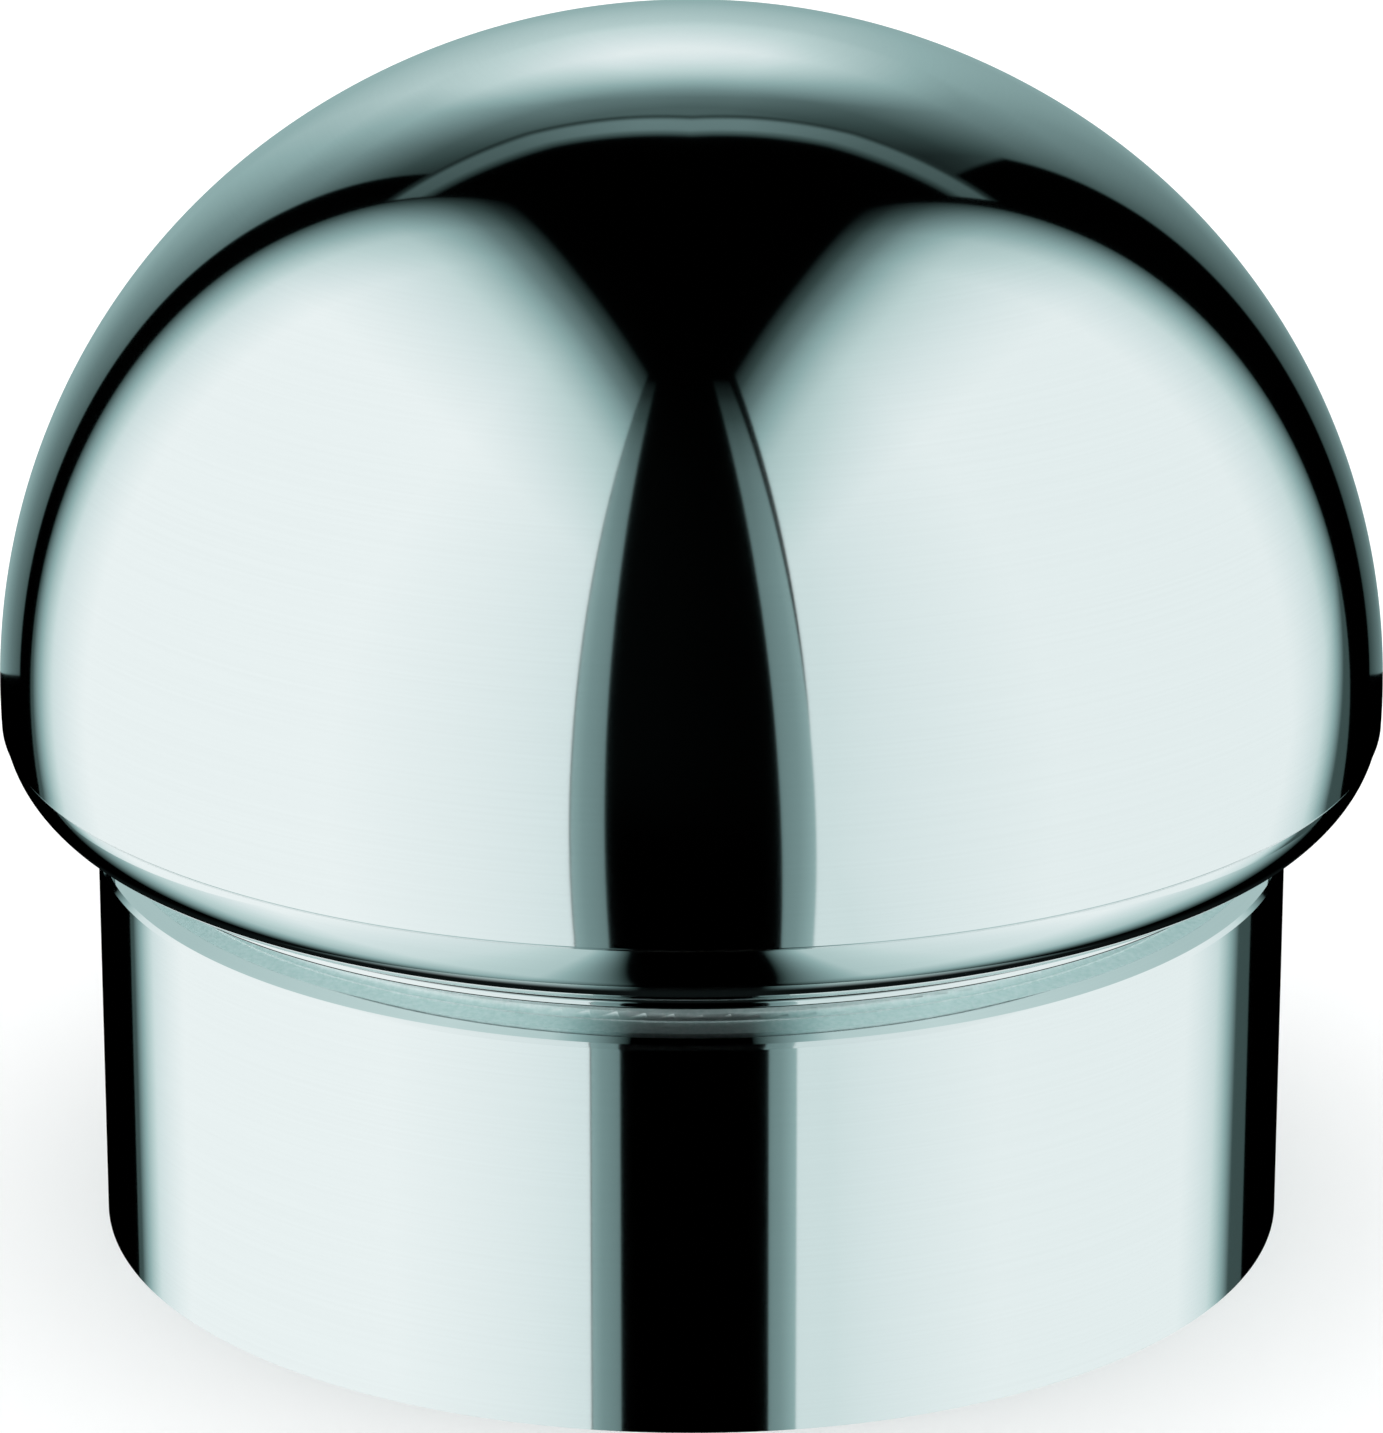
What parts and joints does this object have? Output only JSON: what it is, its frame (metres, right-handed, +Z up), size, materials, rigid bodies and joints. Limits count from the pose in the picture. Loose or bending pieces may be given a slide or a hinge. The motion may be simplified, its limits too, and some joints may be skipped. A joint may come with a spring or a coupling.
{
  "type": "safety bollard",
  "caption": "Low polished steel bollard with a domed head on a recessed neck and a straight sleeve over a bolted steel frame.",
  "frame": {"origin": "middle of the sleeve's lower end, on the ground", "axes": "+Z up along the bollard's axis, -Y is the front, the rear lock screw is at +Y"},
  "size_m": [0.1944, 0.1944, 0.1733],
  "materials": {
    "polished_steel": "mirror polished",
    "brushed_steel": "fine brushed",
    "plain_steel": "mill finish",
    "galvanised_steel": "hot-dip galvanised",
    "rubber": "matt",
    "zinc_screws": "zinc plated",
    "nylon": "natural"
  },
  "bodies": {
    "ground_frame": {"base_pad": "rubber", "base_plate": "galvanised_steel", "plate_rim_seal": "rubber", "core_post": "galvanised_steel", "gussets": "galvanised_steel", "support_ring": "galvanised_steel", "post_cap": "galvanised_steel", "buffer_pad": "rubber"},
    "sleeve_cover": {"sleeve": "polished_steel", "shoulder_ring": "brushed_steel", "neck_collar": "brushed_steel", "fixing_flange": "plain_steel", "flange_screws": "zinc_screws", "flange_washers": "zinc_screws", "neck_seal": "rubber"},
    "domed_head": {"head_shell": "polished_steel", "head_rim_ring": "polished_steel", "head_lip_ring": "polished_steel", "head_base_disc": "plain_steel", "head_spigot": "plain_steel", "socket_tube": "plain_steel", "socket_bushes": "nylon", "crown_plate": "plain_steel", "head_ribs": "plain_steel"},
    "rear_lock_screw": {"lock_screw_rear": "zinc_screws"},
    "left_lock_screw": {"lock_screw_left": "zinc_screws"},
    "right_lock_screw": {"lock_screw_right": "zinc_screws"}
  },
  "joints": [
    {"name": "sleeve_lift", "type": "slide", "parent": "ground_frame", "child": "sleeve_cover", "axis": [0, 0, 1], "range_m": [0, 0.15]},
    {"name": "head_lift", "type": "slide", "parent": "sleeve_cover", "child": "domed_head", "axis": [0, 0, 1], "range_m": [0, 0.09]},
    {"name": "rear_lock_screw_travel", "type": "slide", "parent": "sleeve_cover", "child": "rear_lock_screw", "axis": [0, 1, 0], "range_m": [0, 0.0025]},
    {"name": "left_lock_screw_travel", "type": "slide", "parent": "sleeve_cover", "child": "left_lock_screw", "axis": [-0.866, 0.5, 0], "range_m": [0, 0.0025]},
    {"name": "right_lock_screw_travel", "type": "slide", "parent": "sleeve_cover", "child": "right_lock_screw", "axis": [0.866, 0.5, 0], "range_m": [0, 0.0025]}
  ]
}
